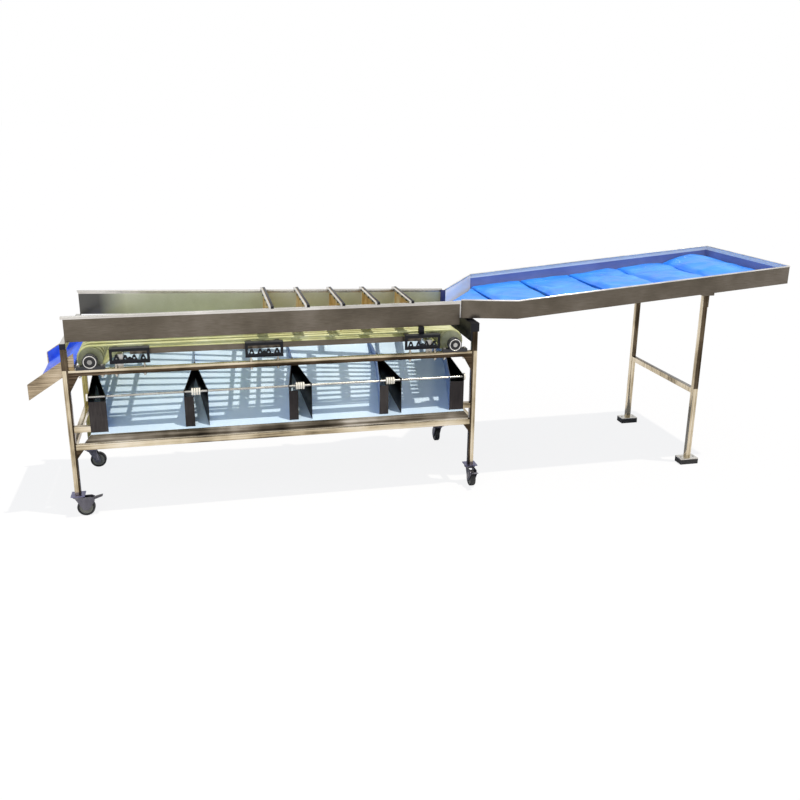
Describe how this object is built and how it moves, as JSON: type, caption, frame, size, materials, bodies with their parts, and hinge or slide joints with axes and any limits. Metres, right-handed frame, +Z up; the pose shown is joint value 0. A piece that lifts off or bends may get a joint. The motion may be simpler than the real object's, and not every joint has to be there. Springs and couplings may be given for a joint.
{
  "type": "fruit grading machine",
  "caption": "Fruit grader on casters: a padded feed tray on a stand leads fruit onto round belts that spread apart over grooved drums, so fruit drops by size into chutes.",
  "frame": {"origin": "centre of the whole machine's footprint, on the floor", "axes": "+X from the discharge end to the feed end, +Y from the front to the rear, +Z up"},
  "size_m": [3.524, 0.8224, 1.0026],
  "materials": {
    "stainless": "satin",
    "dark_steel": "satin",
    "black_paint": "satin",
    "cast": "painted",
    "rope": "translucent polyurethane",
    "nylon": "matt",
    "strip": "soft flap",
    "pad": "coated cloth over foam",
    "tyre": "matt",
    "black_plastic": "matt"
  },
  "bodies": {
    "machine": {"frame_legs": "stainless", "top_crossbars": "dark_steel", "upper_rails": "stainless", "lower_rails": "stainless", "lower_crossbars": "stainless", "frame_gussets": "dark_steel", "chute_brackets": "stainless", "side_wall_front": "stainless", "side_wall_rear": "stainless", "rear_brackets": "stainless", "spreader_bars": "black_paint", "spreader_clamps": "nylon", "spreader_bolts": "dark_steel", "curtain_strips": "strip", "grading_ropes": "rope", "bearing_housings": "cast", "bearing_inserts": "stainless", "rail_bolts": "dark_steel", "comb_brackets": "black_paint", "comb_flats": "dark_steel", "return_guides": "stainless", "support_blocks": "black_plastic", "chute_floor": "stainless", "chute_wall_left": "stainless", "chute_divider_a": "stainless", "chute_divider_b": "stainless", "chute_divider_c": "stainless", "chute_wall_right": "stainless", "divider_rod": "stainless", "rod_rings": "nylon", "caster_plates": "stainless", "feed_tray": "stainless", "neck_pad": "pad", "feed_pad_1": "pad", "feed_pad_2": "pad", "feed_pad_3": "pad", "feed_pad_4": "pad", "feed_pad_5": "pad", "stand_frame": "stainless", "stand_feet": "stainless", "stand_pads": "black_plastic", "stand_brackets": "dark_steel", "discharge_tray": "stainless", "discharge_pad": "pad", "drive_motor": "cast", "drive_chain": "dark_steel", "chain_guard": "stainless"},
    "drum_left": {"drum_left": "dark_steel"},
    "drum_right": {"drum_right": "dark_steel"},
    "motor_sprocket": {"motor_sprocket": "dark_steel"},
    "fork_fl": {"fork_fl": "stainless"},
    "wheel_fl": {"wheel_fl": "tyre"},
    "fork_fr": {"fork_fr": "stainless"},
    "wheel_fr": {"wheel_fr": "tyre"},
    "fork_rl": {"fork_rl": "stainless"},
    "wheel_rl": {"wheel_rl": "tyre"},
    "fork_rr": {"fork_rr": "stainless"},
    "wheel_rr": {"wheel_rr": "tyre"},
    "pedal_fl": {"pedal_fl": "black_plastic"},
    "pedal_fr": {"pedal_fr": "black_plastic"}
  },
  "joints": [
    {"name": "drum_left_spin", "type": "hinge", "parent": "machine", "child": "drum_left", "pos_m": [-1.505, -0.02375, 0.6903], "axis": [0, 1, 0], "continuous": true},
    {"name": "drum_right_spin", "type": "hinge", "parent": "machine", "child": "drum_right", "pos_m": [0.075, -0.02375, 0.6903], "axis": [0, 1, 0], "continuous": true},
    {"name": "motor_sprocket_spin", "type": "hinge", "parent": "machine", "child": "motor_sprocket", "pos_m": [-0.138, 0.29325, 0.525], "axis": [0, 1, 0], "continuous": true},
    {"name": "swivel_fl", "type": "hinge", "parent": "machine", "child": "fork_fl", "pos_m": [-1.6055, -0.31125, 0.09], "axis": [0, 0, 1], "continuous": true},
    {"name": "roll_fl", "type": "hinge", "parent": "fork_fl", "child": "wheel_fl", "pos_m": [-1.5775, -0.31125, 0.0375], "axis": [0, 1, 0], "continuous": true},
    {"name": "brake_fl", "type": "hinge", "parent": "fork_fl", "child": "pedal_fl", "pos_m": [-1.5455, -0.31125, 0.0735], "axis": [0, 1, 0], "range_deg": [0, 18]},
    {"name": "swivel_fr", "type": "hinge", "parent": "machine", "child": "fork_fr", "pos_m": [0.1695, -0.31125, 0.09], "axis": [0, 0, 1], "continuous": true},
    {"name": "roll_fr", "type": "hinge", "parent": "fork_fr", "child": "wheel_fr", "pos_m": [0.1695, -0.33925, 0.0375], "axis": [1, 0, 0], "continuous": true},
    {"name": "brake_fr", "type": "hinge", "parent": "fork_fr", "child": "pedal_fr", "pos_m": [0.1695, -0.37125, 0.0735], "axis": [1, 0, 0], "range_deg": [0, 18]},
    {"name": "swivel_rl", "type": "hinge", "parent": "machine", "child": "fork_rl", "pos_m": [-1.6055, 0.26375, 0.09], "axis": [0, 0, 1], "continuous": true},
    {"name": "roll_rl", "type": "hinge", "parent": "fork_rl", "child": "wheel_rl", "pos_m": [-1.5775, 0.26375, 0.0375], "axis": [0, 1, 0], "continuous": true},
    {"name": "swivel_rr", "type": "hinge", "parent": "machine", "child": "fork_rr", "pos_m": [0.1695, 0.26375, 0.09], "axis": [0, 0, 1], "continuous": true},
    {"name": "roll_rr", "type": "hinge", "parent": "fork_rr", "child": "wheel_rr", "pos_m": [0.1695, 0.29175, 0.0375], "axis": [-1, 0, 0], "continuous": true}
  ],
  "couplings": [
    {"joint": "drum_right_spin", "follows": "drum_left_spin", "ratio": 1},
    {"joint": "motor_sprocket_spin", "follows": "drum_left_spin", "ratio": 1.3571}
  ]
}
